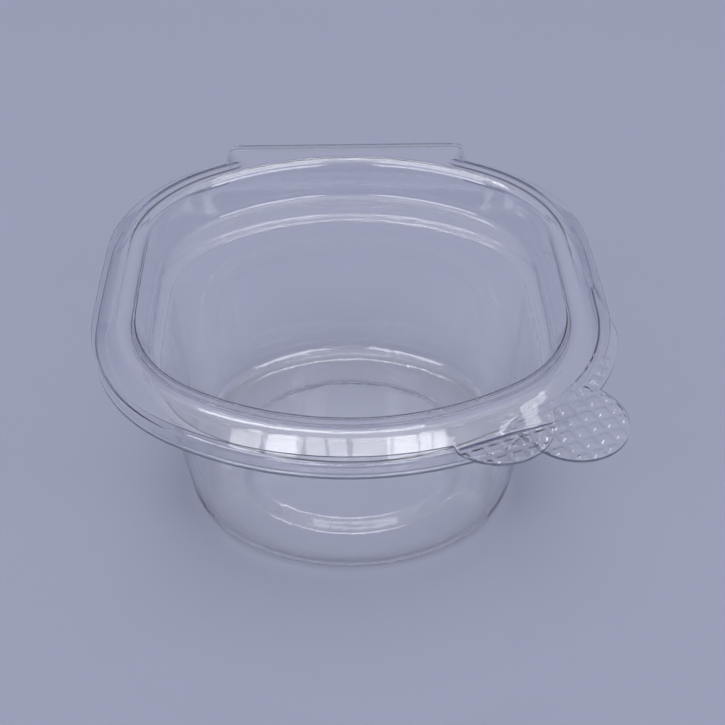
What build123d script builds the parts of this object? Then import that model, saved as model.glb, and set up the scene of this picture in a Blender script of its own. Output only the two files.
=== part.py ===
from build123d import *
import math
import os

# A clear sauce cup with a hinged lid. Cup, fold and lid are thermoformed from one plastic sheet.
# Millimetres, +Z up. The origin is the middle of the base, on the surface that it stands on.
# The fold is at the back, +Y, and both finger tabs are at the front right corner, +X and -Y.

# Driving sizes of the trimmed edge, which cup and lid share in plan
rim_width = 70.0
rim_corner = 24.3
side_turn = 1.24
front_turn = 32.2

# Driving sizes of the sheet
rim_sheet = 0.40
wall_sheet = 0.28
base_sheet = 0.32

# Driving sizes of the cup
cup_height = 35.6
skirt_depth = 4.2
skirt_lip = 0.5
skirt_lip_radius = 0.3
skirt_lean = 0.35
rim_slope_run = 2.15
rim_slope_drop = 1.1
rim_crest_radius = 3.0
skirt_radius = 1.6
mouth_radius = 0.6
mouth_bend_radius = 3.0
mouth_wall_lean = 0.23
shoulder_depth = 9.4
shoulder_width = 1.3
shoulder_radius = 0.6
base_width = 49.0
base_corner = 19.0
base_radius = 3.0
foot_band = 7.5
dimple_height = 0.9
dimple_lean = 1.8
dimple_radius = 1.2

# Driving sizes of the lid
lid_slope_run = 2.6
lid_slope_drop = 1.3
lid_crest_radius = 2.5
recess_inset = 5.7
recess_depth = 6.1
recess_lean = 1.7
recess_top_radius = 0.9
recess_floor_radius = 0.9
recess_floor_band = 3.1

# Clearances between lid and cup
seat_gap = 0.30
plug_gap = 0.30
fold_gap = 0.04
fold_side_gap = 0.4

# Driving sizes of the fold
fold_inset = 1.0
fold_width = 36.8
leaf_overlap = 0.1

# Driving sizes of the finger tabs. A tab's middle lies on a ray from the centre of the corner's arc.
cup_tab_angle = -49.8
cup_tab_overhang = 1.57
cup_tab_radius = 7.0
cup_tab_drop = 2.6
cup_tab_inset = 1.4
collar_shift = 1.3
collar_rise = 1.64
collar_cells = 3
lid_tab_angle = -72.5
lid_tab_overhang = -2.33
lid_tab_radius = 7.45
lid_tab_drop = 0.6
crease_offset = 4.35
grip_angle = 20.9

# Driving sizes of the waffle pressed into both tabs
cell_pitch = 2.1
cell_size = 1.6
cell_height = 0.22
cell_lean = 42.0
collar_steps = 20

# Heights and places worked out from the sizes above
rim_half = rim_width / 2
base_half = base_width / 2
lid_top = cup_height + seat_gap + rim_sheet
lid_edge_z = lid_top - lid_slope_drop
recess_floor_z = lid_top - recess_depth
fold_reach = rim_half - fold_inset
fold_z = cup_height + seat_gap / 2
shoulder_z = cup_height - shoulder_depth
cup_tab_z = cup_height - cup_tab_drop
lid_tab_z = lid_edge_z - lid_tab_drop
sky = lid_top + rim_width
reach = 2 * rim_width


def side_shares():
    """Growth of the side and front radii over the corner's, per millimetre from half to corner."""
    side, front = math.radians(side_turn), math.radians(front_turn)
    rise_side, rise_front = 1 - math.cos(side), 1 - math.cos(front)
    scale = rise_side * rise_front - math.sin(side) * math.sin(front)
    return (rise_front - math.sin(front)) / scale, (rise_side - math.sin(side)) / scale


def outline_arcs(half, corner):
    """The eight arcs of a rounded square, as centre x, centre y, radius, start and span in degrees."""
    side_share, front_share = side_shares()
    side = corner + (half - corner) * side_share
    front = corner + (half - corner) * front_share
    cx = (front - corner) * math.sin(math.radians(front_turn))
    cy = (side - corner) * math.sin(math.radians(side_turn))
    bend = 90 - front_turn - side_turn
    return [
        (half - side, 0, side, -side_turn, 2 * side_turn),
        (cx, cy, corner, side_turn, bend),
        (0, half - front, front, 90 - front_turn, 2 * front_turn),
        (-cx, cy, corner, 90 + front_turn, bend),
        (side - half, 0, side, 180 - side_turn, 2 * side_turn),
        (-cx, -cy, corner, 180 + side_turn, bend),
        (0, front - half, front, 270 - front_turn, 2 * front_turn),
        (cx, -cy, corner, 270 + front_turn, bend),
    ]


def outline(half, corner, z=0.0):
    """A rounded square face at height z."""
    edges = [CenterArc((x, y), r, start, span) for x, y, r, start, span in outline_arcs(half, corner)]
    return Pos(0, 0, z) * make_face(edges)


def inset(amount, z=0.0):
    """The trimmed edge's outline moved inwards by an amount."""
    return outline(rim_half - amount, rim_corner - amount, z)


def ring(section):
    """Carry a section round the trimmed edge: x is zero there and negative inwards, y is height."""
    face = Plane.XZ * section
    parts = []
    for x, y, radius, start, span in outline_arcs(rim_half, rim_corner):
        swept = revolve(Pos(radius, 0, 0) * face, Axis.Z, revolution_arc=span)
        parts.append(Pos(x, y, 0) * Rot(0, 0, start) * swept)
    return parts[0] + parts[1:]


def offset_corners(points, radii, amount):
    """Move a path to its left by an amount, with each bend's radius to match."""
    steps = [Vector(*b) - Vector(*a) for a, b in zip(points, points[1:])]
    steps = [step.normalized() for step in steps]
    left = [Vector(-step.Y, step.X) for step in steps]
    moved = [Vector(*points[0]) + left[0] * amount]
    bends = []
    for i in range(1, len(points) - 1):
        joined = left[i - 1] + left[i]
        moved.append(Vector(*points[i]) + joined * (amount / (1 + left[i - 1].dot(left[i]))))
        turn = steps[i - 1].X * steps[i].Y - steps[i - 1].Y * steps[i].X
        bends.append(radii[i - 1] - math.copysign(amount, turn))
    moved.append(Vector(*points[-1]) + left[-1] * amount)
    return moved, bends


def sheet_section(points, radii, thickness):
    """A bent strip of sheet: its upper surface follows the points, its thickness lies to their left."""
    under, under_radii = offset_corners(points, radii, thickness)
    top = FilletPolyline(*points, radius=radii)
    low = FilletPolyline(*under, radius=under_radii)
    ends = [Line(top @ 0, low @ 0), Line(top @ 1, low @ 1)]
    return make_face(top.edges() + low.edges() + ends)


def prism(sketch, low, high):
    """Stand a plan shape up between two heights."""
    return extrude(Pos(0, 0, low) * sketch, amount=high - low)


def plan_box(x_low, x_high, y_low, y_high):
    """A rectangle in plan, from its limits."""
    return Pos((x_low + x_high) / 2, (y_low + y_high) / 2) * Rectangle(x_high - x_low, y_high - y_low)


def crest_inset():
    """Inset of the corner between the cup's sloping rim and its flat top."""
    return skirt_lip + skirt_lean + rim_slope_run


def mouth_inset(z):
    """Inset of the cup's mouth wall, parallel to the outside of the lid's plug with its clearance."""
    lean = recess_lean / recess_depth
    slack = (rim_sheet + plug_gap) * math.hypot(1, lean)
    return recess_inset - slack + (lid_top - z) * lean


def cup_rim_path():
    """Upper surface of the cup's rim, from the trimmed lip of the skirt over the top to the mouth."""
    edge_z = cup_height - skirt_depth
    points = [(0, edge_z), (-skirt_lip, edge_z), (-skirt_lip - skirt_lean, cup_height - rim_slope_drop)]
    points += [(-crest_inset(), cup_height), (-mouth_inset(cup_height), cup_height)]
    return points, [skirt_lip_radius, skirt_radius, rim_crest_radius]


def cup_rim():
    """Skirt, sloping rim, mouth wall that the plug enters, and the shoulder below it."""
    points, radii = cup_rim_path()
    bend = mouth_inset(recess_floor_z)
    foot = bend + mouth_wall_lean
    points += [(-bend, recess_floor_z), (-foot, shoulder_z)]
    points += [(-foot - shoulder_width + wall_sheet / 2, shoulder_z)]
    radii += [mouth_radius, mouth_bend_radius, shoulder_radius]
    return ring(sheet_section(points, radii, rim_sheet))


def body_solid(skin, floor, top):
    """The tapered body up to the shoulder, its surface moved inwards by a skin and its floor raised."""
    wall_inset = mouth_inset(recess_floor_z) + mouth_wall_lean + shoulder_width - wall_sheet
    top_half = rim_half - wall_inset
    top_corner = rim_corner - wall_inset
    def level(z):
        share = z / shoulder_z
        half = base_half + (top_half - base_half) * share
        corner = base_corner + (top_corner - base_corner) * share
        return outline(half - skin, corner - skin, z)
    tapered = loft([level(floor), level(top)], ruled=True)
    return fillet(tapered.edges().group_by(Axis.Z)[0], base_radius - skin)


def dimple(grow, low):
    """The raised middle of the base, a low frustum inside the band that the cup stands on."""
    edge = foot_band - grow
    foot = outline(base_half - edge, base_corner - edge, low)
    edge += dimple_lean
    top = outline(base_half - edge, base_corner - edge, low + dimple_height)
    frustum = loft([foot, top], ruled=True)
    return fillet(frustum.edges().group_by(Axis.Z)[-1], dimple_radius + grow)


def cup_body():
    """Thin tapered wall and base, drawn down from the rim's sheet."""
    outside = body_solid(0, 0, shoulder_z) - dimple(0, 0)
    inside = body_solid(wall_sheet, base_sheet, shoulder_z + rim_sheet) - dimple(wall_sheet, base_sheet)
    return outside - inside


def leaf_root():
    """Inset at which the fold's leaf starts, just inside the bend of the cup's sloping rim."""
    bend = math.atan2(rim_slope_drop, rim_slope_run)
    return crest_inset() + rim_crest_radius * math.tan(bend / 2) + leaf_overlap


def fold_plan(width, far):
    """The part of the rim's plan that the fold takes up, from the leaf's root to a far limit."""
    return plan_box(-width / 2, width / 2, 0, far) - inset(leaf_root())


def fold_leaf(width, top_z, curl_low, curl_high):
    """Flat leaf from the rim towards the fold, curling to the fold line between two heights."""
    outer = seat_gap / 2 + rim_sheet
    curl_y = fold_reach - outer
    leaf = prism(fold_plan(width, curl_y), top_z - rim_sheet, top_z)
    tube = Cylinder(outer, width) - Cylinder(seat_gap / 2, width)
    tube = Pos(0, curl_y, fold_z) * Rot(0, 90, 0) * tube
    return leaf + (tube & prism(plan_box(-width, width, curl_y, reach), curl_low, curl_high))


def with_fold(rim, width, top_z, curl_low, curl_high):
    """Swap the slope and the skirt at the back of a rim for the fold's flat leaf."""
    return rim - prism(fold_plan(width, reach), 0, sky) + fold_leaf(width, top_z, curl_low, curl_high)


def waffled_plate(plan, top, places):
    """A flat plate of sheet with square cells pressed up out of it, cut off at the plate's own edge."""
    cell = extrude(Rectangle(cell_size, cell_size), amount=cell_height, taper=cell_lean)
    cells = [Rot(0, 0, grip_angle) * cell for _ in places]
    cells = [Pos(x, y, top) * cell for (x, y), cell in zip(places, cells)]
    edge = prism(plan, 0, sky)
    bumps = [cell & edge for cell in cells]
    hollows = [Pos(0, 0, -rim_sheet) * cell for cell in cells]
    return prism(plan, top - rim_sheet, top) + bumps - hollows


def waffle_grid(x, y, reach_out, keep):
    """Places of a square grid, turned with the crease, round a first cell at x, y."""
    turn = math.radians(grip_angle)
    cos, sin = math.cos(turn), math.sin(turn)
    steps = int(reach_out / cell_pitch) + 1
    places = []
    for i in range(-steps, steps + 1):
        for j in range(-steps, steps + 1):
            u, v = i * cell_pitch, j * cell_pitch
            place = (x + u * cos - v * sin, y + u * sin + v * cos)
            if keep(*place):
                places.append(place)
    return places


def corner_centre():
    """Centre of the front right corner arc of the trimmed edge."""
    return outline_arcs(rim_half, rim_corner)[7][:2]


def tab_centre(angle, overhang):
    """Middle of a finger tab, from its ray and how far beyond the trimmed edge it lies."""
    x, y = corner_centre()
    ray = math.radians(angle)
    return x + (rim_corner + overhang) * math.cos(ray), y + (rim_corner + overhang) * math.sin(ray)


def cup_tab_plan():
    """Round tab and the narrow collar beside it, cut back to where the rim's slope starts."""
    cx, cy = corner_centre()
    x, y = tab_centre(cup_tab_angle, cup_tab_overhang)
    collar = Pos(cx + collar_shift, cy) * Circle(rim_corner)
    collar &= plan_box(x, reach, y, cy + collar_rise)
    return Pos(x, y) * Circle(cup_tab_radius) + collar - inset(cup_tab_inset)


def cup_tab_places():
    """Waffle cells of the round tab, then those that follow the collar."""
    cx, cy = corner_centre()
    tab_x, tab_y = tab_centre(cup_tab_angle, cup_tab_overhang)
    clear = rim_corner - cup_tab_inset + rim_sheet + cell_size / 2
    def on_disc(x, y):
        inside = math.hypot(x - tab_x, y - tab_y) < cup_tab_radius + cell_size / 4
        return inside and math.hypot(x - cx, y - cy) > clear
    places = waffle_grid(tab_x, tab_y, cup_tab_radius, on_disc)
    disc = list(places)
    row = rim_corner + (collar_shift - cup_tab_inset + rim_sheet) / 2
    angle = math.radians(cup_tab_angle)
    while len(places) < len(disc) + collar_cells:
        x, y = cx + row * math.cos(angle), cy + row * math.sin(angle)
        if all(math.hypot(x - px, y - py) >= cell_pitch for px, py in places):
            places.append((x, y))
        angle += cell_pitch / row / collar_steps
    return places


def rim_air():
    """The space over the cup's rim, which trims what stands up to it."""
    points, radii = cup_rim_path()
    path = FilletPolyline(*points, radius=radii)
    inner, beyond, low = points[-1][0], cup_tab_radius, points[0][1]
    over = Polyline(path @ 1, (inner, sky), (beyond, sky), (beyond, low), path @ 0)
    return ring(make_face(path.edges() + over.edges()))


def cup_tab(plan):
    """Flat waffled platform below the rim, with the riser that joins it to the slope."""
    band = (plan - offset(plan, amount=-rim_sheet)) & inset(0)
    riser = prism(band, cup_tab_z - rim_sheet, cup_height) - rim_air()
    return waffled_plate(plan, cup_tab_z, cup_tab_places()) + riser


def make_cup():
    """The cup with its skirted rim, its half of the fold and its tab."""
    plan = cup_tab_plan()
    low = fold_z - seat_gap / 2 - rim_sheet
    rim = with_fold(cup_rim(), fold_width, cup_height, low, fold_z - fold_gap / 2)
    return rim - prism(plan, 0, sky) + cup_body() + cup_tab(plan)


def lid_flange():
    """Sloping flange, plug wall and the outer band of the recess floor."""
    points = [(0, lid_edge_z), (-lid_slope_run, lid_top), (-recess_inset, lid_top)]
    points += [(-recess_inset - recess_lean, recess_floor_z)]
    points += [(-recess_inset - recess_lean - recess_floor_band, recess_floor_z)]
    radii = [lid_crest_radius, recess_top_radius, recess_floor_radius]
    return ring(sheet_section(points, radii, rim_sheet))


def recess_panel():
    """Flat middle of the recess floor."""
    plan = inset(recess_inset + recess_lean + recess_floor_band)
    return prism(plan, recess_floor_z - rim_sheet, recess_floor_z)


def flange_apron():
    """The flange's slope carried on outwards, for the tab to be cut from."""
    slope = Vector(lid_slope_run, -lid_slope_drop).normalized()
    under = Vector(slope.Y, -slope.X) * rim_sheet
    start = Vector(0, lid_edge_z)
    far = start + slope * lid_tab_radius
    return ring(make_face(Polyline(start, far, far + under, start + under, close=True)))


def lid_tab_sides():
    """The tab's disc in plan, split by the crease into its inner, sloping part and its outer, flat one."""
    disc = Circle(lid_tab_radius)
    outer = disc & plan_box(-reach, reach, -reach, crease_offset - lid_tab_radius)
    seat = Pos(*tab_centre(lid_tab_angle, lid_tab_overhang)) * Rot(0, 0, grip_angle)
    return seat * (disc - outer), seat * outer


def lid_tab_places():
    """Waffle cells in rows along the crease, the first row half a cell beyond it."""
    turn = math.radians(grip_angle)
    out = lid_tab_radius - crease_offset + cell_pitch / 2
    tab_x, tab_y = tab_centre(lid_tab_angle, lid_tab_overhang)
    x, y = tab_x + out * math.sin(turn), tab_y - out * math.cos(turn)
    def on_tab(px, py):
        beyond = (px - x) * math.sin(turn) - (py - y) * math.cos(turn)
        inside = math.hypot(px - tab_x, py - tab_y) < lid_tab_radius + cell_size / 4
        return inside and beyond > -cell_pitch / 2
    return waffle_grid(x, y, lid_tab_radius, on_tab)


def lid_tab():
    """Waffled finger tab beyond a straight crease, on the flange's slope."""
    inner, outer = lid_tab_sides()
    apron = flange_apron() & prism(inner, 0, sky)
    return waffled_plate(outer, lid_tab_z, lid_tab_places()) + apron


def make_lid():
    """The lid with its recess, which is the plug from below, its half of the fold and its tab."""
    width = fold_width + 2 * fold_side_gap
    rim = with_fold(lid_flange(), width, lid_top, fold_z + fold_gap / 2, lid_top)
    return rim + recess_panel() + lid_tab()


if __name__ == "__main__":
    os.makedirs("parts", exist_ok=True)
    for name, maker in (("cup", make_cup), ("lid", make_lid)):
        shape = maker()
        export_step(shape, f"parts/{name}.step")
        volume = round(shape.volume, 1)
        print(name, "solids", len(shape.solids()), "volume", volume, "valid", shape.is_valid)
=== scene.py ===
import math

import bpy
from mathutils import Matrix, Vector, noise


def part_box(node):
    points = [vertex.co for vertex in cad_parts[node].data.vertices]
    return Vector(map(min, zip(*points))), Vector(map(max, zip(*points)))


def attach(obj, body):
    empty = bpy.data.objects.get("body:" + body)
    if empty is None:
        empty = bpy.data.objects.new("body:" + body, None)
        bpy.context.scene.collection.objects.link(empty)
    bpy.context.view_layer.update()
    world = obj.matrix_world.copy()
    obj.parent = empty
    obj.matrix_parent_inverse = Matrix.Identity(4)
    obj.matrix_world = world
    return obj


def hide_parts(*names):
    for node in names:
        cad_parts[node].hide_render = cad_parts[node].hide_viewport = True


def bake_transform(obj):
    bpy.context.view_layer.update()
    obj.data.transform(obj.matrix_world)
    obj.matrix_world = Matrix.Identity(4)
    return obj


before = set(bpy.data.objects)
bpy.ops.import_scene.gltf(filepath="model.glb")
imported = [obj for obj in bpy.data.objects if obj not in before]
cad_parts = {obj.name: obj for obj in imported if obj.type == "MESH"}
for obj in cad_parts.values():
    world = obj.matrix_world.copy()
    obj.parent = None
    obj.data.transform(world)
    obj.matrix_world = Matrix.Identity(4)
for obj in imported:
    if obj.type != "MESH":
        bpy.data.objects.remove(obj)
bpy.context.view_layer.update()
LID_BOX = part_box("lid")

bl_info = {
    "name": "Clear sauce cup with hinged lid",
    "version": (1, 0, 0),
    "blender": (4, 5, 0),
    "location": "View3D > Sidebar > Sauce cup",
    "description": "Builds a thermoformed sauce cup, its hinged lid, their fold and a small studio",
    "category": "Add Mesh",
}

MM = 0.001

# Samples of the lid's section beyond its crease, and in all from the tab's end to the flange
CREASE = 36
FLANGE_RUN = 58

# How far past its crest each flat rim is sampled before the section goes on down the wall
CUP_FLAT = 0.45 * MM
LID_FLAT = 0.8 * MM

# Where the lid's section passes from the run of its tab to the sloping flange
FLANGE_START = -1.6 * MM

# How far each floor is sampled, and the shares of its last width at which rings close in on the
# middle
CUP_FLOOR = 3 * MM
LID_FLOOR = 12 * MM
RINGS = (0.84, 0.68, 0.52, 0.38, 0.24, 0.1)

# How far the fine sections run on past a tab, and the closer ones past an ear
MARGIN = 1 * MM

# Spacing beside the ears of cup and lid, and beside the cup's collar, in steps of the fine spacing
CUP_STEP = 2
LID_STEP = 1.6

# The reach from which a section counts as on a tab, and the least that one beside it keeps, so that
# no two of its corners fall together
TAB_REACH = 0.05 * MM
LEAST_REACH = 0.02 * MM

# The cup's tab carries its waffle up to this far past its riser and this far above its seat
SEAT_SIDE = 0.2 * MM
SEAT_RISE = 0.1 * MM

# The collar's row of cells takes over this far inside the edge of the round tab
COLLAR_START = 0.3 * MM

# The slow waves grow from nothing over this width in from the trimmed edge and this height above
# the floor
CALM_RIM = 3 * MM
CALM_FOOT = 2 * MM

# How far the fold's bent strip stands off the ends of its leaves, so that no faces coincide
STRIP_GAP = 0.02 * MM

# The floor's corners, and how far it lies below the cup's foot for the same reason
FLOOR_CORNERS = 64
FLOOR_DROP = 0.1 * MM

# Edges that bend by more than this are shaded sharp
SHARP = math.radians(55)

# Seed of the slow waves. Without one, noise_vector follows the clock and every run has other waves
WAVE_SEED = 5


def length(name, description, default):
    """A size in the sidebar, given here in millimetres."""
    return bpy.props.FloatProperty(
        name=name, description=description, default=default * MM, unit="LENGTH", precision=5)


def turn(name, description, default):
    """An angle in the sidebar, given here in degrees."""
    return bpy.props.FloatProperty(
        name=name, description=description, default=math.radians(default), unit="ROTATION")


def colour(name, description, default):
    """A colour in the sidebar, written as sRGB hex."""
    return bpy.props.StringProperty(name=name, description=description, default=default)


class PlanSizes(bpy.types.PropertyGroup):
    """The rounded square that cup and lid share in plan, and the sheet they are formed from."""
    half: length("Half width", "From the middle to the edge at the sides", LID_BOX[1][0] / MM)
    corner: length("Corner radius", "Radius of the trimmed edge's corners", 24.3)
    side_turn: turn("Side bow", "Half the angle that each side's gentle arc spans", 1.24)
    front_turn: turn("Front bow", "Half the angle that the front and back arcs span", 32.2)
    rim_sheet: length("Rim sheet", "Thickness of the sheet at the rim and in the lid", 0.40)
    wall_sheet: length("Wall sheet", "Thickness of the drawn wall of the cup", 0.28)
    base_sheet: length("Base sheet", "Thickness of the cup's base", 0.32)
    spacing: length("Mesh spacing", "Distance between sections along the plain rim", 1.4)
    fine_spacing: length("Fine spacing", "Distance between sections across the finger tabs", 0.19)


class CupSizes(bpy.types.PropertyGroup):
    """Heights and bends of the cup's section, from the trimmed edge to the middle of the base."""
    height: length("Height", "Top of the cup's flat rim", 35.6)
    skirt_depth: length("Skirt depth", "From the rim's top down to the trimmed edge", 4.2)
    lip: length("Lip", "Width of the flat lip that the skirt ends in", 0.25)
    lip_radius: length("Lip radius", "Bend between the skirt and its lip", 0.2)
    skirt_lean: length("Skirt lean", "How far the skirt leans in over its height", 0.1)
    slope_run: length("Slope run", "Width of the sloping part of the rim", 3.05)
    slope_drop: length("Slope drop", "Height of the sloping part of the rim", 2.4)
    crest_radius: length("Crest radius", "Bend between the slope and the flat rim", 1.1)
    skirt_radius: length("Skirt radius", "Bend between the slope and the skirt", 0.7)
    mouth_radius: length("Mouth radius", "Bend from the flat rim into the mouth", 1.6)
    bend_radius: length("Mouth bend", "Bend below the wall that takes the lid's plug", 3.0)
    wall_lean: length("Upper wall lean", "How far the wall leans in above the shoulder", 0.23)
    shoulder_depth: length("Shoulder depth", "From the rim's top down to the shoulder", 9.4)
    shoulder_width: length("Shoulder width", "How far the wall steps in at the shoulder", 1.3)
    shoulder_radius: length("Shoulder radius", "Bends of the shoulder", 0.5)
    base_half: length("Base half width", "From the middle to the wall's foot", 24.5)
    base_corner: length("Base corner", "Corner radius of the base in plan", 19.0)
    base_radius: length("Base radius", "Bend from the wall into the base", 3.0)
    foot_band: length("Foot band", "Width of the band that the cup stands on", 7.5)
    dimple_height: length("Dimple height", "How far the middle of the base is raised", 0.9)
    dimple_lean: length("Dimple lean", "Run of the step up to the raised middle", 1.8)
    dimple_radius: length("Dimple radius", "Bends of that step", 2.0)
    thinning: length("Thinning", "Height over which the sheet thins at the shoulder", 2.0)
    foot_start: length("Foot start", "Height at which the base's thickness starts to change", 2.0)
    foot_thinning: length("Foot thinning", "Height over which it becomes the wall's", 4.0)


class LidSizes(bpy.types.PropertyGroup):
    """Heights and bends of the lid's section, from the trimmed edge to the middle of the recess."""
    top: length("Top", "Height of the lid's flat rim", LID_BOX[1][2] / MM)
    slope_run: length("Slope run", "Width of the sloping flange", 2.6)
    slope_drop: length("Slope drop", "Height of the sloping flange", 1.3)
    crest_radius: length("Crest radius", "Bend between the slope and the flat rim", 2.5)
    recess_inset: length("Recess inset", "From the trimmed edge to the recess", 5.7)
    recess_depth: length("Recess depth", "From the flat rim down to the recess floor", 6.1)
    recess_lean: length("Recess lean", "How far the recess wall leans in over its depth", 1.7)
    recess_radius: length("Recess radius", "Bends at the top and the foot of the recess wall", 1.1)
    plug_gap: length("Plug gap", "Clearance between the plug and the cup's mouth", 0.30)


class TabSizes(bpy.types.PropertyGroup):
    """The two finger tabs. Each one's middle lies on a ray from the centre of the corner's arc."""
    cup_angle: turn("Cup tab angle", "Direction of the cup's tab from the corner's centre", -49.8)
    cup_overhang: length("Cup tab overhang", "The tab's middle beyond the trimmed edge", 1.57)
    cup_radius: length("Cup tab radius", "Radius of the cup's round tab", 7.0)
    cup_drop: length("Cup tab drop", "How far the cup's tab lies below the rim's top", 2.6)
    cup_inset: length("Cup tab inset", "Where the tab's riser stands inside the trimmed edge", 1.4)
    cup_brink: length("Cup tab brink", "From the rim's top down to the top of the riser", 0.82)
    brink_radius: length("Brink radius", "Bend at the top of the riser", 0.6)
    riser_radius: length("Riser radius", "Bend at the foot of the riser", 0.5)
    collar_shift: length("Collar shift", "Width of the collar beside the cup's tab", 1.3)
    collar_rise: length("Collar rise", "How far the collar runs past the corner's centre", 4.64)
    lid_angle: turn("Lid tab angle", "Direction of the lid's tab from the corner's centre", -72.5)
    lid_overhang: length("Lid tab overhang", "The tab's middle beyond the trimmed edge", -2.33)
    lid_radius: length("Lid tab radius", "Radius of the lid's tab", 7.45)
    lid_drop: length("Lid tab drop", "How far the lid's tab lies below its trimmed edge", 0.6)
    crease: length("Crease offset", "From the lid tab's outermost point back to its crease", 4.35)
    crease_turn: turn("Crease turn", "Direction of the crease and of both waffle grids", 20.9)
    pitch: length("Waffle pitch", "Distance between the middles of two waffle cells", 2.1)
    cell: length("Waffle cell", "Width of a waffle cell at its foot", 1.75)
    cell_height: length("Waffle height", "How far a waffle cell stands up", 0.12)
    cell_edge: length("Waffle edge", "Run of a waffle cell's sloping sides", 0.4)
    cell_margin: length("Waffle margin", "Width over which the waffle fades at a tab's edge", 0.5)
    collar_cells: bpy.props.IntProperty(
        name="Collar cells", description="Cells in the collar's single row", default=3)
    # The crease faces across this width carry a dark blue line of painted shade
    crease_width: length("Crease width", "Width of the sharp line along the lid tab's crease", 0.11)
    crease_gap: length("Crease gap", "From the crease to the first row of waffle cells", 0.25)
    crease_run: length("Crease run", "Width over which the tab steps down at its crease", 0.4)
    taper: length("Taper", "Length over which the skirt runs out beside the round tab", 2.6)
    collar_taper: length("Collar taper", "Length over which the skirt returns past the collar", 8.0)
    collar_fade: length("Collar fade", "Length over which the collar narrows to nothing", 9.0)


class FoldSizes(bpy.types.PropertyGroup):
    """The fold along the back that lid and cup share."""
    flat_half: length("Flat half width", "Half the width over which the fold is straight", 17.2)
    ear_half: length("Ear half width", "Half the width at which the skirt is full again", 19.4)
    inset: length("Fold inset", "From the rim's plan width in to the fold line", 1.0)
    seat_gap: length("Seat gap", "Clearance between the lid's rim and the cup's", 0.30)


class PetLook(bpy.types.PropertyGroup):
    """Clear PET sheet, vacuum formed."""
    tint: colour("Tint", "Colour that the sheet gives what is seen through it", "#FEFEFF")
    shade_tint: colour("Shade tint", "Light that passes the sheet head on", "#FFFFFF")
    edge_shade: colour("Edge shade", "Light that passes the sheet at a glancing angle", "#444A58")
    ior: bpy.props.FloatProperty(name="IOR", description="Refractive index of PET", default=1.575)
    roughness: bpy.props.FloatProperty(
        name="Roughness", description="Haze of the formed surface", default=0.015, subtype="FACTOR")
    ripple: length("Ripple", "Height of the slow waves left by forming", 0.035)
    ripple_length: length("Ripple length", "Distance from one slow wave to the next", 13.0)
    peel: length("Peel", "Height of the faint orange peel where the sheet met the mould", 0.2)
    peel_length: length("Peel length", "Size of one bump of the orange peel", 2.381)
    streak: length("Streak height", "Height of the upright streaks that drawing leaves", 0.008)
    streak_pitch: length("Streak pitch", "Distance from one upright streak to the next", 0.5)
    streak_stretch: bpy.props.FloatProperty(
        name="Streak stretch", description="How many times longer than wide a streak is",
        default=50.0)
    streak_fade: length("Streak fade", "Height over which the streaks end above the shoulder", 3.0)
    shade_start: bpy.props.FloatProperty(
        name="Shade start", description="Slant from which the sheet holds light back", default=0.42,
        subtype="FACTOR")
    # Painted shade: the die-cut edge's darker, bluer colour stands in for the dark line that light
    # turned aside in the edge makes
    cut_painted_shade: colour("Cut tint", "Colour of the light that leaves a die-cut edge", "#7F8A9C")
    cut_roughness: bpy.props.FloatProperty(
        name="Cut roughness", description="Haze of a die-cut edge", default=0.3, subtype="FACTOR")
    cut_clear: bpy.props.FloatProperty(
        name="Cut clearness", description="Share of a die-cut edge that is seen into", default=0.4,
        subtype="FACTOR")
    # Painted shade: the crease's dark blue colour stands in for the dark line that the crease makes
    # by turning light aside
    crease_painted_shade: colour("Crease tint", "Colour of the light that leaves a sharp crease", "#474E6C")


class StudioSettings(bpy.types.PropertyGroup):
    """Floor, lamps and camera."""
    floor: colour("Floor", "Colour of the floor", "#9B9FB2")
    floor_radius: length("Floor radius", "Radius of the round board", 3000.0)
    mottle: length("Mottle", "Size of the board's faint blotches", 111.1)
    horizon: colour("Horizon", "Colour of the light from the sides, level with the cup", "#6A718C")
    sky: colour("Sky", "Colour of the light from half way up", "#B2B5C8")
    zenith: colour("Zenith", "Colour of the light from straight above", "#BEC0D0")
    lens: bpy.props.FloatProperty(
        name="Lens", description="Focal length on a 36 mm sensor", default=59.59)
    place: bpy.props.FloatVectorProperty(
        name="Camera place", description="Where the camera stands",
        default=(-0.00263, -0.1345, 0.1372), subtype="TRANSLATION", unit="LENGTH", precision=5)
    yaw: turn("Camera yaw", "Turn to the right of straight ahead", 1.877)
    pitch: turn("Camera pitch", "Turn down from level", 41.28)
    roll: turn("Camera roll", "Turn about the line of sight", 0.282)
    strip_level: bpy.props.FloatProperty(
        name="Strip level", description="Watts of the strip for each square metre", default=6.2)
    panel_level: bpy.props.FloatProperty(
        name="Panel level", description="Watts of the panels for each square metre", default=9.0)
    key_power: bpy.props.FloatProperty(name="Key", description="Watts of the key lamp", default=2.0)
    fill_power: bpy.props.FloatProperty(
        name="Fill", description="Watts of each soft lamp beside the camera", default=8.6)


def linear(code):
    """Linear colour with full alpha from sRGB hex."""
    parts = [int(code[i:i + 2], 16) / 255 for i in (1, 3, 5)]
    return [p / 12.92 if p <= 0.04045 else ((p + 0.055) / 1.055) ** 2.4 for p in parts] + [1.0]


def smooth(value):
    """Ease from 0 to 1, flat at both ends and beyond."""
    t = min(max(value, 0.0), 1.0)
    return t * t * (3 - 2 * t)


def mix(a, b, share):
    """Step from one number or vector towards another by a share."""
    return a + (b - a) * share


class Station:
    """One section through the rounded square: its direction, and where it meets the outer edge."""

    def __init__(self, out, bow, plan):
        self.out = out
        self.bow = bow
        self.edge = self.spot(plan.half, plan.half - plan.corner)

    def spot(self, half, gap):
        """Point on the rounded square of that half width. Its corner radius is less by the gap."""
        return self.out * half + self.bow * gap


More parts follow.
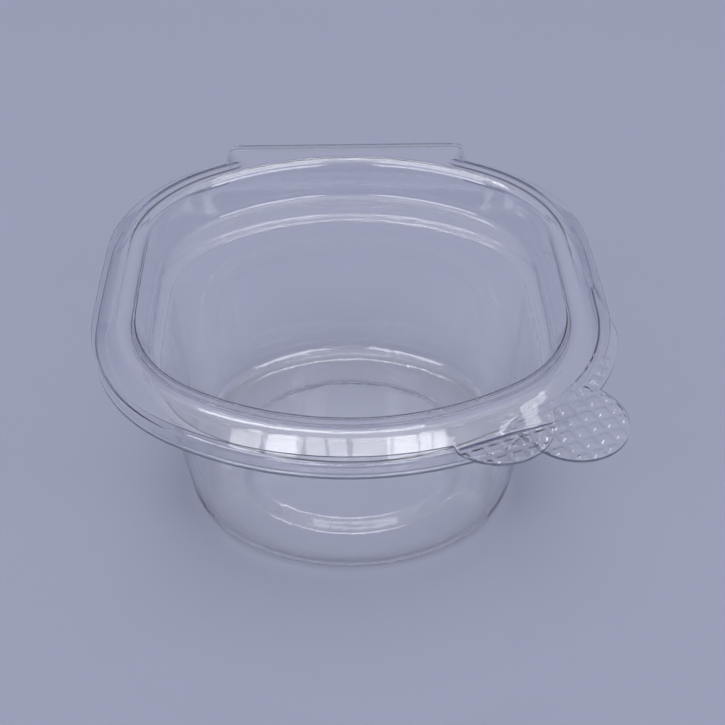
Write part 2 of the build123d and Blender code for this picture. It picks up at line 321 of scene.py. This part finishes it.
def plan_arcs(plan):
    """The eight arcs as bow, start angle and span. A point on an arc is out * half + bow * gap."""
    side, front = plan.side_turn, plan.front_turn
    rise_side, rise_front = 1 - math.cos(side), 1 - math.cos(front)
    scale = rise_side * rise_front - math.sin(side) * math.sin(front)
    side_share = (rise_front - math.sin(front)) / scale
    front_share = (rise_side - math.sin(side)) / scale
    cx, cy = front_share * math.sin(front), side_share * math.sin(side)
    quarter = math.pi / 2
    bend = quarter - front - side
    return [
        (Vector((1 - side_share, 0)), 1 - side_share, -side, 2 * side),
        (Vector((cx, cy)), 1, side, bend),
        (Vector((0, 1 - front_share)), 1 - front_share, quarter - front, 2 * front),
        (Vector((-cx, cy)), 1, quarter + front, bend),
        (Vector((side_share - 1, 0)), 1 - side_share, 2 * quarter - side, 2 * side),
        (Vector((-cx, -cy)), 1, 2 * quarter + side, bend),
        (Vector((0, front_share - 1)), 1 - front_share, 3 * quarter - front, 2 * front),
        (Vector((cx, -cy)), 1, 3 * quarter + front, bend),
    ]


def corner_middle(plan):
    """Centre of the front right corner's arc, from which both tabs are placed."""
    return plan_arcs(plan)[7][0] * (plan.half - plan.corner)


def tab_middle(plan, angle, overhang):
    """Middle of a finger tab in plan."""
    reach = plan.corner + overhang
    return corner_middle(plan) + Vector((math.cos(angle), math.sin(angle))) * reach


def stations(plan, spacing):
    """Sections all the way round, as close together as the spacing asks for at each place."""
    made = []
    gap = plan.half - plan.corner
    for middle, share, start, span in plan_arcs(plan):
        radius = plan.half - gap * share
        angle = start
        while angle < start + span - 1e-6:
            out = Vector((math.cos(angle), math.sin(angle)))
            made.append(Station(out, middle - out * share, plan))
            angle += spacing(made[-1].edge) / radius
    return made


def ray_reach(station, middle, radius):
    """How far a section runs past the trimmed edge before it leaves a circle, or 0 if it misses."""
    back = middle - station.edge
    along = back.dot(station.out)
    inside = radius * radius - back.dot(back) + along * along
    return max(0.0, along + math.sqrt(inside)) if inside > 0 else 0.0


def trace(corners, counts, bend=6):
    """Sample a path with rounded corners, as (x, z, normal x, normal z).

    The sheet lies on the side that the normals point to. Counts says how many samples each straight
    run gets, and bend how many each rounded corner gets."""
    points = [Vector(c[:2]) for c in corners]
    ways = [(b - a).normalized() for a, b in zip(points, points[1:])]
    cuts = [0.0]
    for i in range(1, len(points) - 1):
        cuts.append(corners[i][2] * math.tan(abs(ways[i - 1].angle_signed(ways[i])) / 2))
    cuts.append(0.0)
    samples = []
    for i, way in enumerate(ways):
        start = points[i] + way * cuts[i]
        end = points[i + 1] - way * cuts[i + 1]
        normal = Vector((-way.y, way.x))
        for k in range(counts[i]):
            samples.append((*start.lerp(end, k / counts[i]), *normal))
        if i + 1 < len(ways):
            after = ways[i + 1]
            swing = math.atan2(way.x * after.y - way.y * after.x, way.dot(after))
            centre = end + normal * math.copysign(corners[i + 1][2], swing)
            for k in range(bend):
                spin = Matrix.Rotation(swing * k / bend, 2)
                samples.append((*(centre + spin @ (end - centre)), *(spin @ normal)))
    return samples + [(*points[-1], *normal)]


def mixed(path, other, share):
    """Blend two sampled sections of equal length."""
    return [tuple(mix(a, b, share) for a, b in zip(p, q)) for p, q in zip(path, other)]


def waffle(point, first, tabs):
    """Height of the waffle at a point in plan, for a grid with a cell at the first place."""
    turned = Matrix.Rotation(-tabs.crease_turn, 2) @ (point - first)
    away = max(abs(a - tabs.pitch * round(a / tabs.pitch)) for a in turned)
    return tabs.cell_height * smooth((tabs.cell / 2 - away) / tabs.cell_edge)


def ripple(point, look):
    """Slow waves in the sheet, as a small vector."""
    return noise.noise_vector(point / look.ripple_length) * look.ripple


def shell(name, top, under, creased=()):
    """Join two sheets of points, one row for each section, into one solid along their shared rim.

    The rows whose numbers are in creased have a crease right after their CREASE sample."""
    rows, columns = len(top), len(top[0])
    if any(len(row) != columns for row in (*top, *under)):
        raise ValueError(f"{name}: its sections don't have the same number of points")
    points = [p for row in top for p in row] + [p for row in under for p in row]
    sheet = rows * columns
    faces, lines, creases = [], [], []
    for i in range(rows):
        j = (i + 1) % rows
        lines.append((i * columns, sheet + i * columns, sheet + j * columns, j * columns))
        for k in range(columns - 1):
            a, b = i * columns + k, j * columns + k
            # Faces at the crease take the crease material, a line of painted shade
            group = creases if k == CREASE and i in creased and j in creased else faces
            group.append((a, b, b + 1, a + 1))
            group.append((sheet + a, sheet + a + 1, sheet + b + 1, sheet + b))
    for side in (0, sheet):
        ring = [side + i * columns + columns - 1 for i in range(rows)]
        points.append(sum((Vector(points[v]) for v in ring), Vector()) / rows)
        pole = len(points) - 1
        for i in range(rows):
            pair = (ring[i], ring[(i + 1) % rows])
            faces.append((*pair, pole) if side == 0 else (*reversed(pair), pole))
    return finished_mesh(name, points, faces, lines, creases)


def finished_mesh(name, points, faces, lines=(), creases=()):
    """Make an object, shaded smooth but for its trimmed edges. Lines are those edges' faces."""
    mesh = bpy.data.meshes.new(name)
    mesh.from_pydata(points, [], [*faces, *lines, *creases])
    # Slots 1 and 2 give the trimmed edges and the creases materials whose colour is painted shade
    slots = [0] * len(faces) + [1] * len(lines) + [2] * len(creases)
    mesh.polygons.foreach_set("material_index", slots)
    mesh.validate()
    mesh.polygons.foreach_set("use_smooth", [True] * len(mesh.polygons))
    mesh.set_sharp_from_angle(angle=SHARP)
    piece = bpy.data.objects.new(name, mesh)
    bpy.context.scene.collection.objects.link(piece)
    return piece


def tab_shares(around, reaches, tabs, middle):
    """For each section, 1 on the cup's tab or collar and fading to 0 along the edge beside it."""
    on_tab = [s.edge for s, reach in zip(around, reaches) if reach > TAB_REACH]
    shares = []
    for s in around:
        taper = tabs.taper if s.edge.y < middle.y else tabs.collar_taper
        shares.append(1 - smooth(min((s.edge - e).length for e in on_tab) / taper))
    return shares


def near_ear(place, fold):
    """Whether a place on the edge is where the fold ends and the skirt starts."""
    return place.y > 0 and fold.flat_half - MARGIN < abs(place.x) < fold.ear_half + MARGIN


def fold_share(station, fold):
    """1 where the fold is straight, fading to 0 at the end of its ears."""
    if station.out.y < 0:
        return 0.0
    return 1 - smooth((abs(station.edge.x) - fold.flat_half) / (fold.ear_half - fold.flat_half))


def leaf_end(plan, fold):
    """How far back the fold's flat leaves run, where the bent strip takes over."""
    return plan.half - fold.inset - fold.seat_gap / 2 - plan.rim_sheet


def onto_leaf(path, station, plan, fold, flat, height, share):
    """Blend a section into the fold's leaf, which runs level from its end to the flat rim."""
    end = (leaf_end(plan, fold) - station.edge.y) / station.out.y
    last = len(path) - 1
    level = [(mix(end, flat, k / last), height, 0, -1) for k in range(last + 1)]
    return mixed(path, level, share)


def mouth_inset(z, plan, lid):
    """Inset of the cup's mouth wall, parallel to the lid's plug."""
    lean = lid.recess_lean / lid.recess_depth
    slack = (plan.rim_sheet + lid.plug_gap) * math.hypot(1, lean)
    return lid.recess_inset - slack + (lid.top - z) * lean


def cup_outer(station, plan, cup, tabs, fold, reach, on_tab, on_fold):
    """The cup's section from its trimmed edge to the flat rim."""
    hip = (-cup.lip - cup.skirt_lean, cup.height - cup.slope_drop, cup.skirt_radius)
    crest = (hip[0] - cup.slope_run, cup.height, cup.crest_radius)
    flat = crest[0] - CUP_FLAT
    edge_z = cup.height - cup.skirt_depth
    lip = (-cup.lip, edge_z, cup.lip_radius)
    path = trace([(0, edge_z), lip, hip, crest, (flat, cup.height)], [8, 36, 14, 2])
    if on_tab > 0:
        riser = -tabs.cup_inset
        seat = cup.height - tabs.cup_drop
        brink = cup.height - tabs.cup_brink
        corners = [
            (max(reach, LEAST_REACH), seat),
            (riser, seat, tabs.riser_radius),
            (riser, brink, tabs.brink_radius),
            crest,
            (flat, cup.height),
        ]
        path = mixed(path, trace(corners, [50, 2, 6, 2]), on_tab)
    if on_fold > 0:
        path = onto_leaf(path, station, plan, fold, flat, cup.height, on_fold)
    return path


def cup_inner(plan, cup, lid):
    """The cup's section from the flat rim down the wall and across the base."""
    flat = -cup.lip - cup.skirt_lean - cup.slope_run - CUP_FLAT
    floor = lid.top - lid.recess_depth
    shoulder = cup.height - cup.shoulder_depth
    bend = mouth_inset(floor, plan, lid)
    foot = bend + cup.wall_lean
    base = plan.half - cup.base_half + plan.wall_sheet
    step = base + cup.foot_band
    raised = plan.base_sheet + cup.dimple_height
    corners = [
        (flat, cup.height),
        (-mouth_inset(cup.height, plan, lid), cup.height, cup.mouth_radius),
        (-bend, floor, cup.bend_radius),
        (-foot, shoulder, cup.shoulder_radius),
        (-foot - cup.shoulder_width, shoulder, cup.shoulder_radius),
        (-base, plan.base_sheet, cup.base_radius),
        (-step, plan.base_sheet, cup.dimple_radius),
        (-step - cup.dimple_lean, raised, cup.dimple_radius),
        (-step - cup.dimple_lean - CUP_FLOOR, raised),
    ]
    return trace(corners, [2, 5, 3, 1, 16, 6, 2, 3], bend=5)


def sheet_thickness(z, plan, cup):
    """The sheet thins as it is drawn: thickest at the rim, thinnest in the wall."""
    shoulder = cup.height - cup.shoulder_depth
    drawn = mix(plan.wall_sheet, plan.rim_sheet, smooth((z - shoulder) / cup.thinning + 0.5))
    return mix(plan.base_sheet, drawn, smooth((z - cup.foot_start) / cup.foot_thinning))


def make_cup_mesh(scene):
    """The whole cup as one closed sheet: its rim, half of the fold, tab, collar, wall and base."""
    noise.seed_set(WAVE_SEED)
    plan, cup, lid = scene.sauce_plan, scene.sauce_cup, scene.sauce_lid
    tabs, fold, look = scene.sauce_tabs, scene.sauce_fold, scene.sauce_pet
    corner = corner_middle(plan)
    middle = tab_middle(plan, tabs.cup_angle, tabs.cup_overhang)
    collar = corner + Vector((tabs.collar_shift, 0))
    collar_end = corner.y + tabs.collar_rise

    def spacing(place):
        if (place - middle).length < tabs.cup_radius + MARGIN:
            return plan.fine_spacing
        beside = place.x > middle.x and middle.y < place.y < collar_end + tabs.collar_taper
        if beside or near_ear(place, fold):
            return CUP_STEP * plan.fine_spacing
        return plan.spacing

    around = stations(plan, spacing)
    beside_disc = math.acos(1 - (tabs.cup_radius / plan.corner) ** 2 / 2)
    collar_start = tabs.cup_angle + beside_disc
    reaches = []
    for s in around:
        reach = ray_reach(s, middle, tabs.cup_radius)
        if s.edge.x > middle.x and s.edge.y > middle.y:
            fade = smooth((collar_end - s.edge.y) / tabs.collar_fade)
            reach = max(reach, ray_reach(s, collar, plan.corner) * fade)
        reaches.append(reach)
    shares = tab_shares(around, reaches, tabs, middle)
    inner = cup_inner(plan, cup, lid)
    rim_gap = plan.half - plan.corner
    base_gap = cup.base_half - cup.base_corner
    shoulder = cup.height - cup.shoulder_depth
    riser_side = -tabs.cup_inset - SEAT_SIDE
    seat_top = cup.height - tabs.cup_drop + SEAT_RISE

    def gap_at(z):
        return mix(base_gap, rim_gap, min(max(z / shoulder, 0), 1))

    def sheet_at(z):
        return sheet_thickness(z, plan, cup)

    sections = []
    for s, reach, on_tab in zip(around, reaches, shares):
        outer = cup_outer(s, plan, cup, tabs, fold, reach, on_tab, fold_share(s, fold))

        def bump_at(place, x, z):
            if on_tab < 0.5 or x < riser_side or z > seat_top:
                return 0.0
            fade = smooth((reach - x) / tabs.cell_margin)
            if (place - middle).length > tabs.cup_radius - COLLAR_START and s.edge.y > middle.y:
                return collar_bump(s, x, collar_start, corner, tabs) * fade
            return waffle(place, middle, tabs) * fade

        sections.append(section(s, plan, outer[:-1] + inner, look, gap_at, sheet_at, bump_at))
    return shell("cup_shell", *zip(*sections))


def collar_bump(station, x, start, corner, tabs):
    """Height of the single row of cells that follows the collar from the edge of the round tab."""
    swing = math.atan2(station.edge.y - corner.y, station.edge.x - corner.x)
    along = (swing - start) * (station.edge - corner).length - tabs.pitch / 2
    if not -tabs.pitch / 2 < along < (tabs.collar_cells - 0.5) * tabs.pitch:
        return 0.0
    across = abs(x - (tabs.collar_shift - tabs.cup_inset) / 2)
    away = max(abs(along - tabs.pitch * round(along / tabs.pitch)), across)
    return tabs.cell_height * smooth((tabs.cell / 2 - away) / tabs.cell_edge)


def section(station, plan, path, look, gap_at, sheet_at, bump_at):
    """Upper and lower points of one section, and of the flat floor that it runs on across."""
    spots = []
    for x, z, nx, nz in path:
        down = Vector((station.out.x * nx, station.out.y * nx, nz))
        spots.append((station.spot(plan.half + x, gap_at(z)), x, z, down))
    place, x, z, down = spots[-1]
    spots += [(place * share, x, z, down) for share in RINGS]
    upper, lower = [], []
    for place, x, z, down in spots:
        waves = smooth(-x / CALM_RIM) * smooth(z / CALM_FOOT)
        point = Vector((*place, z))
        point += ripple(point, look) * waves + Vector((0, 0, bump_at(place, x, z)))
        upper.append(point)
        lower.append(point + down * sheet_at(z))
    return upper, lower


def crease_spot(station, reach, crease):
    """Where along a section the crease lies, and whether that is on the tab."""
    past = crease(station.edge)
    steep = crease(station.edge + station.out) - past
    spot = -past / steep if abs(steep) > 0.01 else reach
    margin = 0.3 * MM
    first, last = FLANGE_START + margin, reach - margin
    return min(max(spot, first), last), reach > 0 and first < spot < last


def lid_outer(station, plan, lid, tabs, fold, reach, on_fold, crease):
    """The lid's section from its trimmed edge to the flat rim, with the tab beyond its crease."""
    flat = -lid.slope_run - LID_FLAT
    edge_z = lid.top - lid.slope_drop
    steep = lid.slope_drop / lid.slope_run
    corners = [
        (FLANGE_START, edge_z - FLANGE_START * steep),
        (-lid.slope_run, lid.top, lid.crest_radius),
        (flat, lid.top),
    ]
    path = trace(corners, [2, 2])
    nx, nz = path[0][2:]
    spot, creased = crease_spot(station, reach, crease)
    half = tabs.crease_width / 2
    rest = FLANGE_RUN - CREASE - 1
    run = []
    for k in range(FLANGE_RUN):
        if k <= CREASE:
            x = mix(reach, spot + half, k / CREASE)
        else:
            x = mix(spot - half, FLANGE_START, (k - CREASE - 1) / rest)
        z = edge_z - x * steep
        past = crease(station.edge + station.out * x)
        share = smooth(0.5 + past / tabs.crease_run) if reach > 0 else 0.0
        run.append((x, mix(z, edge_z - tabs.lid_drop, share), nx * (1 - share), mix(nz, -1, share)))
    path = run + path[1:]
    if on_fold > 0:
        path = onto_leaf(path, station, plan, fold, flat, lid.top, on_fold)
    return path, creased


def lid_inner(lid):
    """The lid's section from the flat rim down the recess and across its floor."""
    floor = lid.top - lid.recess_depth
    foot = -lid.recess_inset - lid.recess_lean
    corners = [
        (-lid.slope_run - LID_FLAT, lid.top),
        (-lid.recess_inset, lid.top, lid.recess_radius),
        (foot, floor, lid.recess_radius),
        (foot - LID_FLOOR, floor),
    ]
    return trace(corners, [3, 8, 12])


def make_lid_mesh(scene):
    """The whole lid as one closed sheet: its flange, half of the fold, tab and recess."""
    noise.seed_set(WAVE_SEED)
    plan, lid = scene.sauce_plan, scene.sauce_lid
    tabs, fold, look = scene.sauce_tabs, scene.sauce_fold, scene.sauce_pet
    middle = tab_middle(plan, tabs.lid_angle, tabs.lid_overhang)
    beyond = Vector((math.sin(tabs.crease_turn), -math.cos(tabs.crease_turn)))
    crease_at = tabs.lid_radius - tabs.crease
    first = middle + beyond * (crease_at + tabs.crease_gap + tabs.pitch / 2)

    def crease(place):
        return (place - middle).dot(beyond) - crease_at

    def spacing(place):
        if (place - middle).length < tabs.lid_radius + MARGIN:
            return plan.fine_spacing
        return LID_STEP * plan.fine_spacing if near_ear(place, fold) else plan.spacing

    def gap_at(z):
        return plan.half - plan.corner

    def sheet_at(z):
        return plan.rim_sheet

    inner = lid_inner(lid)
    sections = []
    creased = set()
    for number, s in enumerate(stations(plan, spacing)):
        reach = ray_reach(s, middle, tabs.lid_radius) if s.out.y < 0 else 0.0
        outer, on_crease = lid_outer(s, plan, lid, tabs, fold, reach, fold_share(s, fold), crease)
        if on_crease:
            creased.add(number)

        def bump_at(place, x, z):
            if reach == 0 or crease(place) < tabs.crease_gap or x < FLANGE_START:
                return 0.0
            return waffle(place, first, tabs) * smooth((reach - x) / tabs.cell_margin)

        sections.append(section(s, plan, outer[:-1] + inner, look, gap_at, sheet_at, bump_at))
    return shell("lid_shell", *zip(*sections), creased)


def make_fold_mesh(scene):
    """The bent strip of sheet that joins the two leaves, as a half pipe along the back."""
    plan, fold, cup = scene.sauce_plan, scene.sauce_fold, scene.sauce_cup
    inner = fold.seat_gap / 2
    outer = inner + plan.rim_sheet
    y = leaf_end(plan, fold) + STRIP_GAP
    z = cup.height + inner
    across, around = 40, 12
    points, faces = [], []
    for i in range(across + 1):
        x = mix(-fold.flat_half, fold.flat_half, i / across)
        for radius in (inner, outer):
            for k in range(around + 1):
                swing = math.pi * (k / around - 0.5)
                points.append((x, y + radius * math.cos(swing), z + radius * math.sin(swing)))
    ring = around + 1
    for i in range(across):
        a, b = i * 2 * ring, (i + 1) * 2 * ring
        for k in range(around):
            faces.append((a + k, a + k + 1, b + k + 1, b + k))
            faces.append((a + ring + k, b + ring + k, b + ring + k + 1, a + ring + k + 1))
        faces.append((a, b, b + ring, a + ring))
        faces.append((a + around, a + ring + around, b + ring + around, b + around))
    for base, flip in ((0, False), (across * 2 * ring, True)):
        for k in range(around):
            face = (base + k, base + ring + k, base + ring + k + 1, base + k + 1)
            faces.append(tuple(reversed(face)) if flip else face)
    return finished_mesh("fold_strip", points, faces)


def add_node(tree, kind, links=(), **settings):
    """Add a node, set its properties or its sockets by name, and link sockets into it."""
    node = tree.nodes.new(kind)
    for key, value in settings.items():
        if hasattr(node, key):
            setattr(node, key, value)
        else:
            node.inputs[key.replace("_", " ")].default_value = value
    for socket, source in links:
        tree.links.new(source, node.inputs[socket])
    return node


def empty_material(name):
    """A node material with nothing in it yet."""
    material = bpy.data.materials.get(name) or bpy.data.materials.new(name)
    material.use_nodes = True
    material.node_tree.nodes.clear()
    return material


def pet_material(name, look, tint, roughness, clear, relief=None):
    """PET that a surface is made of. Light that lands on the floor or on a matt surface passes the
    sheet straight through, and dims only by how much the sheet slants to it."""
    material = empty_material(name)
    tree = material.node_tree
    sheet = add_node(
        tree, "ShaderNodeBsdfPrincipled", relief(tree) if relief else (),
        Base_Color=linear(tint), Roughness=roughness, IOR=look.ior, Transmission_Weight=clear)
    slant = add_node(tree, "ShaderNodeLayerWeight", Blend=0.5)
    lost = add_node(
        tree, "ShaderNodeMapRange", [("Value", slant.outputs["Facing"])], From_Min=look.shade_start)
    shade = add_node(tree, "ShaderNodeMix", [("Factor", lost.outputs["Result"])], data_type="RGBA")
    shade.inputs["A"].default_value = linear(look.shade_tint)
    shade.inputs["B"].default_value = linear(look.edge_shade)
    passing = add_node(tree, "ShaderNodeBsdfTransparent", [("Color", shade.outputs["Result"])])
    path = add_node(tree, "ShaderNodeLightPath").outputs
    soft = add_node(
        tree, "ShaderNodeMath", [(0, path["Is Shadow Ray"]), (1, path["Is Diffuse Ray"])],
        operation="MAXIMUM")
    both = add_node(tree, "ShaderNodeMixShader", [
        ("Fac", soft.outputs[0]), (1, sheet.outputs[0]), (2, passing.outputs[0])])
    add_node(tree, "ShaderNodeOutputMaterial", [("Surface", both.outputs[0])])
    return material


def clear_pet_material(look, wall_top):
    """Clear PET sheet, vacuum formed: bright, sharp reflections over a nearly colourless body, a
    faint orange peel where the hot sheet met the mould, and fine upright streaks where the wall was
    drawn."""

    def relief(tree):
        place = add_node(tree, "ShaderNodeTexCoord").outputs["Object"]
        peel = add_node(
            tree, "ShaderNodeTexNoise", [("Vector", place)], Scale=1 / look.peel_length, Detail=2.0)
        fine = add_node(
            tree, "ShaderNodeBump", [("Height", peel.outputs["Fac"])], Strength=0.05,
            Distance=look.peel)
        upright = add_node(tree, "ShaderNodeVectorMath", [(0, place)], operation="MULTIPLY")
        upright.inputs[1].default_value = (1, 1, 1 / look.streak_stretch)
        drawn = add_node(
            tree, "ShaderNodeTexNoise", [("Vector", upright.outputs[0])],
            Scale=1 / look.streak_pitch, Detail=1.0)
        height = add_node(tree, "ShaderNodeSeparateXYZ", [("Vector", place)]).outputs["Z"]
        on_wall = add_node(
            tree, "ShaderNodeMapRange", [("Value", height)], From_Min=wall_top + look.streak_fade,
            From_Max=wall_top, To_Min=0.0, To_Max=1.0)
        streaks = add_node(tree, "ShaderNodeBump", [
            ("Height", drawn.outputs["Fac"]), ("Normal", fine.outputs[0]),
            ("Strength", on_wall.outputs["Result"])], Distance=look.streak)
        return [("Normal", streaks.outputs["Normal"])]

    return pet_material("clear PET, vacuum formed", look, look.tint, look.roughness, 1.0, relief)


def cut_frost_and_painted_shade_material(look):
    """Die-cut edge of the PET sheet: slightly frosted, and darker and bluer in a colour that is
    painted shade, standing in for the dark line that light turned aside in the edge makes."""
    return pet_material(
        "clear PET, die-cut edge, painted shade", look, look.cut_painted_shade, look.cut_roughness, look.cut_clear)


def painted_crease_line_material(look):
    """Sharp crease pressed into the PET sheet: a fine dark blue line that is painted shade,
    standing in for the dark line that the crease makes as it turns the light behind it aside."""
    return pet_material(
        "clear PET, pressed crease, painted shade line", look, look.crease_painted_shade, look.cut_roughness, look.cut_clear)


def floor_material(studio):
    """Matt painted board: one even pale colour with a very faint mottle."""
    material = empty_material("painted board, matt")
    tree = material.node_tree
    place = add_node(tree, "ShaderNodeTexCoord").outputs["Object"]
    mottle = add_node(
        tree, "ShaderNodeTexNoise", [("Vector", place)], Scale=1 / studio.mottle, Detail=3.0)
    tone = add_node(tree, "ShaderNodeHueSaturation", Color=linear(studio.floor))
    value = add_node(
        tree, "ShaderNodeMapRange", [("Value", mottle.outputs["Fac"])], To_Min=0.985, To_Max=1.015)
    tree.links.new(value.outputs["Result"], tone.inputs["Value"])
    board = add_node(
        tree, "ShaderNodeBsdfPrincipled", [("Base Color", tone.outputs["Color"])], Roughness=0.9)
    add_node(tree, "ShaderNodeOutputMaterial", [("Surface", board.outputs[0])])
    return material


def dress(piece, scene, creased=False):
    """Give a piece its materials."""
    shoulder = scene.sauce_cup.height - scene.sauce_cup.shoulder_depth
    piece.data.materials.append(clear_pet_material(scene.sauce_pet, shoulder))
    # The trimmed edges' material is frosted and carries painted shade
    piece.data.materials.append(cut_frost_and_painted_shade_material(scene.sauce_pet))
    if creased:
        # The crease's material is a line of painted shade
        piece.data.materials.append(painted_crease_line_material(scene.sauce_pet))


class SAUCE_OT_cup(bpy.types.Operator):
    """Build the clear cup with its skirted rim, shoulder, tapered wall and waffled finger tab"""
    bl_idname = "sauce.cup"
    bl_label = "Build cup"

    def execute(self, context):
        piece = make_cup_mesh(context.scene)
        dress(piece, context.scene)
        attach(piece, "cup")
        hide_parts("cup")
        return {"FINISHED"}


class SAUCE_OT_lid(bpy.types.Operator):
    """Build the clear lid with its sloping flange, recess and creased finger tab"""
    bl_idname = "sauce.lid"
    bl_label = "Build lid"

    def execute(self, context):
        piece = make_lid_mesh(context.scene)
        dress(piece, context.scene, creased=True)
        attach(piece, "lid")
        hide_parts("lid")
        return {"FINISHED"}


class SAUCE_OT_fold(bpy.types.Operator):
    """Build the bent strip of sheet that joins lid and cup along the back"""
    bl_idname = "sauce.fold"
    bl_label = "Build fold"

    def execute(self, context):
        scene = context.scene
        piece = make_fold_mesh(scene)
        dress(piece, scene)
        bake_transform(piece)
        return {"FINISHED"}


class SAUCE_OT_studio(bpy.types.Operator):
    """Build the floor, the even light from all round, the lamps and the camera"""
    bl_idname = "sauce.studio"
    bl_label = "Build studio"

    def execute(self, context):
        scene = context.scene
        studio = scene.sauce_studio
        scene.view_settings.view_transform = "Standard"
        scene.cycles.max_bounces = 32
        scene.cycles.transmission_bounces = 32
        scene.cycles.transparent_max_bounces = 16
        add_floor(studio)
        add_sky(scene, studio)
        add_lamps(studio)
        add_camera(scene, studio)
        return {"FINISHED"}


def add_floor(studio):
    """A wide round board that the cup stands on."""
    radius = studio.floor_radius
    turns = [math.tau * k / FLOOR_CORNERS for k in range(FLOOR_CORNERS)]
    points = [(radius * math.cos(a), radius * math.sin(a), 0) for a in turns]
    mesh = bpy.data.meshes.new("floor")
    mesh.from_pydata(points, [], [tuple(range(FLOOR_CORNERS))])
    floor = bpy.data.objects.new("floor", mesh)
    bpy.context.scene.collection.objects.link(floor)
    mesh.materials.append(floor_material(studio))
    floor.location.z = -FLOOR_DROP


def add_sky(scene, studio):
    """Light from all round in a cool cast, even from above and darker towards the horizon."""
    world = bpy.data.worlds.new("studio sky")
    scene.world = world
    world.use_nodes = True
    tree = world.node_tree
    tree.nodes.clear()
    way = add_node(tree, "ShaderNodeTexCoord").outputs["Generated"]
    height = add_node(tree, "ShaderNodeSeparateXYZ", [("Vector", way)]).outputs["Z"]
    tone = add_node(tree, "ShaderNodeValToRGB", [("Fac", height)])
    ramp = tone.color_ramp
    ramp.interpolation = "EASE"
    stops = (
        (0.0, studio.horizon), (0.22, studio.horizon), (0.66, studio.sky), (1.0, studio.zenith))
    for position, code in stops:
        stop = ramp.elements.new(position)
        stop.color = linear(code)
    ramp.elements.remove(ramp.elements[0])
    ramp.elements.remove(ramp.elements[-1])
    back = add_node(tree, "ShaderNodeBackground", [("Color", tone.outputs["Color"])])
    add_node(tree, "ShaderNodeOutputWorld", [("Surface", back.outputs[0])])


def add_area(name, place, target, size, power):
    """A rectangular lamp aimed at a point."""
    lamp = bpy.data.lights.new(name, "AREA")
    lamp.shape = "RECTANGLE"
    lamp.size, lamp.size_y = size
    lamp.energy = power
    thing = bpy.data.objects.new(name, lamp)
    thing.location = place
    aim = Vector(target) - Vector(place)
    thing.rotation_euler = aim.to_track_quat("-Z", "Y").to_euler()
    bpy.context.scene.collection.objects.link(thing)


def add_overhead(name, x, y, size, level):
    """A level rectangular lamp 1 m above the floor, of that power for each square metre."""
    add_area(name, (x, y, 1.0), (x, y, 0), size, level * size[0] * size[1])


def add_lamps(studio):
    """A strip light in uneven segments high over the front of the cup, four panels nearer the
    camera, a lamp over the right, a key lamp high behind, and a soft lamp on each side of the
    camera."""
    segments = (
        (-0.22, 0.13), (-0.11, 0.06), (-0.04, 0.06), (0.065, 0.12), (0.20, 0.12), (0.31, 0.08))
    for x, width in segments:
        add_overhead("strip", x, -0.17, (width, 0.08), studio.strip_level)
    panels = (
        (-0.55, -0.54, 0.17), (-0.36, -0.59, 0.17), (0.25, -0.615, 0.15), (0.415, -0.585, 0.15))
    for x, y, width in panels:
        add_overhead("panel", x, y, (width, 0.09), studio.panel_level)
    add_overhead("side", 0.64, 0.12, (0.06, 0.34), studio.strip_level)
    add_area("key", (-0.1, 0.62, 1.25), (0, 0, 0), (0.55, 0.1), studio.key_power)
    for name, x in (("fill_left", -0.9), ("fill_right", 0.9)):
        add_area(name, (x, -1.2, 1.3), (0, 0, 0), (1.4, 0.45), studio.fill_power)


def add_camera(scene, studio):
    """The photograph's viewing angle and lens."""
    data = bpy.data.cameras.new("camera")
    data.lens = studio.lens
    data.sensor_width = 36.0
    data.clip_start = 0.01
    data.clip_end = 50.0
    camera = bpy.data.objects.new("camera", data)
    ahead = math.cos(studio.pitch)
    forward = Vector((
        math.sin(studio.yaw) * ahead, math.cos(studio.yaw) * ahead, -math.sin(studio.pitch)))
    level = Vector((math.cos(studio.yaw), -math.sin(studio.yaw), 0))
    up = level.cross(forward)
    right = level * math.cos(studio.roll) + up * math.sin(studio.roll)
    top = up * math.cos(studio.roll) - level * math.sin(studio.roll)
    turned = Matrix((right, top, -forward)).transposed()
    camera.matrix_world = Matrix.Translation(studio.place) @ turned.to_4x4()
    scene.collection.objects.link(camera)
    scene.camera = camera


class SAUCE_PT_panel(bpy.types.Panel):
    """Sidebar panel of the sauce cup's sizes and steps"""
    bl_idname = "SAUCE_PT_panel"
    bl_label = "Sauce cup"
    bl_space_type = "VIEW_3D"
    bl_region_type = "UI"
    bl_category = "Sauce cup"

    def draw(self, context):
        for step in STEPS:
            self.layout.operator(step.bl_idname)
        for name, group in GROUPS.items():
            box = self.layout.box()
            box.label(text=name.replace("sauce_", "").capitalize())
            for key in group.__annotations__:
                box.prop(getattr(context.scene, name), key)


GROUPS = {
    "sauce_plan": PlanSizes,
    "sauce_cup": CupSizes,
    "sauce_lid": LidSizes,
    "sauce_tabs": TabSizes,
    "sauce_fold": FoldSizes,
    "sauce_pet": PetLook,
    "sauce_studio": StudioSettings,
}
STEPS = (SAUCE_OT_studio, SAUCE_OT_cup, SAUCE_OT_lid, SAUCE_OT_fold)


def register():
    for group in GROUPS.values():
        bpy.utils.register_class(group)
    for step in STEPS:
        bpy.utils.register_class(step)
    bpy.utils.register_class(SAUCE_PT_panel)
    for name, group in GROUPS.items():
        setattr(bpy.types.Scene, name, bpy.props.PointerProperty(type=group))


def unregister():
    for name in GROUPS:
        delattr(bpy.types.Scene, name)
    bpy.utils.unregister_class(SAUCE_PT_panel)
    for step in reversed(STEPS):
        bpy.utils.unregister_class(step)
    for group in reversed(GROUPS.values()):
        bpy.utils.unregister_class(group)


def main():
    register()
    bpy.ops.sauce.studio()
    bpy.ops.sauce.cup()
    bpy.ops.sauce.lid()
    bpy.ops.sauce.fold()


if __name__ == "__main__":
    main()
